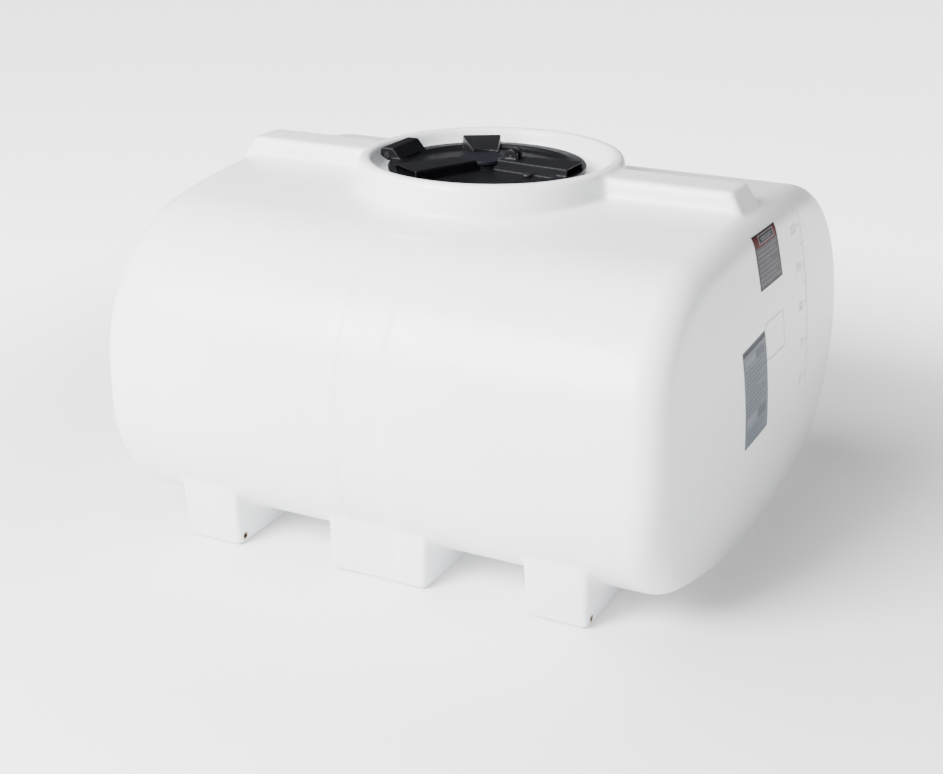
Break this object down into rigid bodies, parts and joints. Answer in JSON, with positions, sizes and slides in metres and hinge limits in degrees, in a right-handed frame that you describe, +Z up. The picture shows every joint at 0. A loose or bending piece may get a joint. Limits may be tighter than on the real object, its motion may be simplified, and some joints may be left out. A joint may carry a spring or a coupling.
{
  "type": "fresh water tank",
  "caption": "Moulded plastic water tank on saddle legs, with a recessed hinged manway lid, flip fill cap, breather and threaded outlet.",
  "frame": {"origin": "on the floor under the middle of the tank", "axes": "+X along the tank towards the labelled end, +Y across it towards the back, +Z up"},
  "size_m": [1.3, 1.1418, 0.779],
  "materials": {
    "tank_plastic": "white moulded polyethylene, satin, with a faint flow texture",
    "lid_plastic": "black moulded polypropylene, satin, fine grain",
    "breather_plastic": "dark grey moulded plastic, satin",
    "fitting_plastic": "black moulded polypropylene, satin",
    "gasket_rubber": "matte black rubber",
    "stainless_steel": "turned and brushed stainless steel",
    "insert_brass": "turned brass, slightly dulled",
    "upper_label_film": "printed film with a dark red band over a grey body, no lettering",
    "lower_label_film": "printed blue-grey film with pale rows, no lettering"
  },
  "bodies": {
    "tank": {"tank_shell": "tank_plastic", "lid_ring": "lid_plastic", "ring_gasket": "gasket_rubber", "ring_screws": "stainless_steel", "lid_gasket": "gasket_rubber", "hinge_pin": "stainless_steel", "hinge_clips": "stainless_steel", "outlet_gasket": "gasket_rubber", "outlet_fitting": "fitting_plastic", "outlet_nut": "fitting_plastic", "leg_inserts": "insert_brass", "upper_label": "upper_label_film", "lower_label": "lower_label_film"},
    "lid": {"lid": "lid_plastic", "fill_screen": "stainless_steel", "screen_retainer": "lid_plastic", "fill_cap_pin": "stainless_steel", "breather": "breather_plastic", "breather_nut": "lid_plastic"},
    "fill_cap": {"fill_cap": "lid_plastic", "fill_cap_seal": "gasket_rubber"}
  },
  "joints": [
    {"name": "lid_hinge", "type": "hinge", "parent": "tank", "child": "lid", "pos_m": [-0.219, 0, 0.747], "axis": [0, -1, 0], "range_deg": [0, 100]},
    {"name": "fill_cap_hinge", "type": "hinge", "parent": "lid", "child": "fill_cap", "pos_m": [0.051, 0, 0.765], "axis": [0, 1, 0], "range_deg": [0, 110]}
  ]
}
